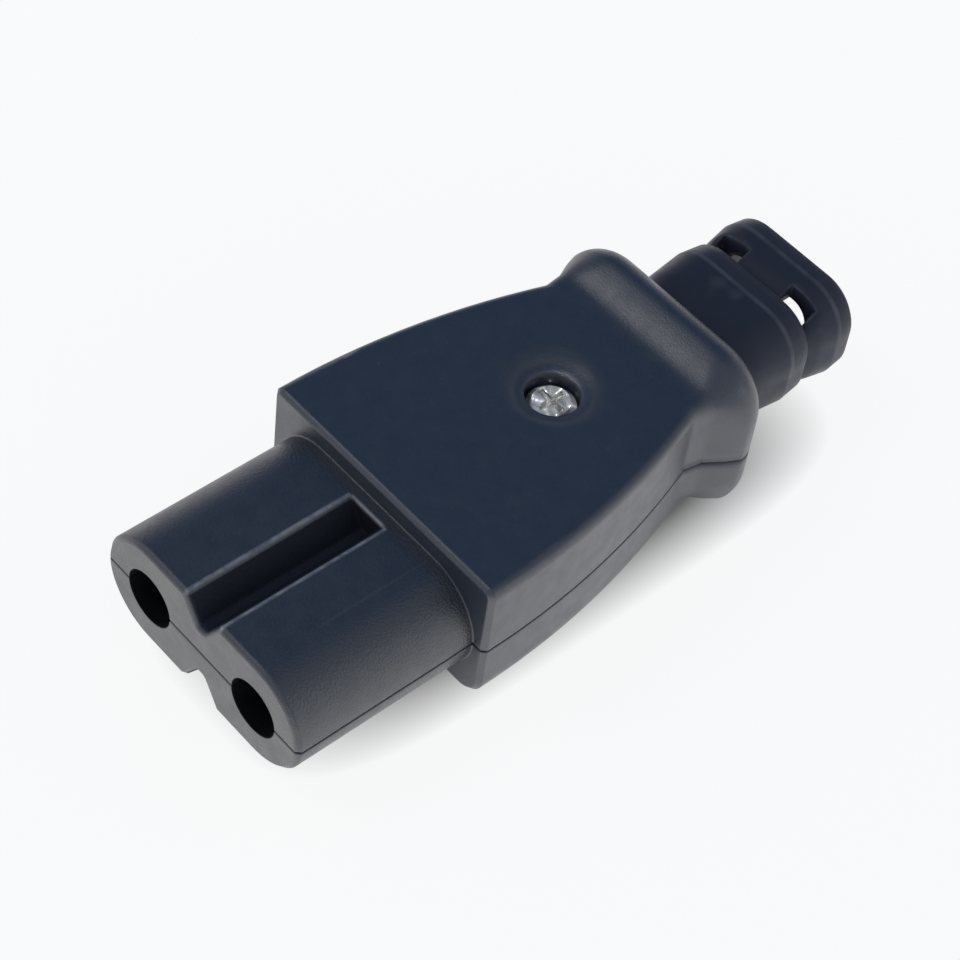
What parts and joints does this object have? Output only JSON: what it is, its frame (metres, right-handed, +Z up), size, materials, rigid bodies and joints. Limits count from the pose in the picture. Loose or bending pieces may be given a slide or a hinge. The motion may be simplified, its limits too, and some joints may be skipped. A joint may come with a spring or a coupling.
{
  "type": "figure eight power connector",
  "caption": "Rewireable figure-eight appliance connector: black moulded half shells held by a screw, brass pin contacts inside a waisted nose, and a ribbed soft boot for a flat cord.",
  "frame": {"origin": "middle of the connector's length and width, at the height of its lowest point, the underside of the collar", "axes": "+Y along the connector from the nose towards the cord, +Z up through the shell that carries the screw head, +X to the right seen from the cord"},
  "size_m": [0.0176, 0.0428, 0.0113],
  "materials": {
    "shell": "satin moulded plastic with a fine grain",
    "boot": "soft matte moulding",
    "plated_screw": "bright zinc plating",
    "contact": "plain drawn brass"
  },
  "bodies": {
    "root": {"upper_shell": "shell", "lower_shell": "shell", "case_screw": "plated_screw", "strain_relief": "boot", "left_contact": "contact", "right_contact": "contact", "left_terminal_screw": "plated_screw", "right_terminal_screw": "plated_screw"}
  },
  "joints": []
}
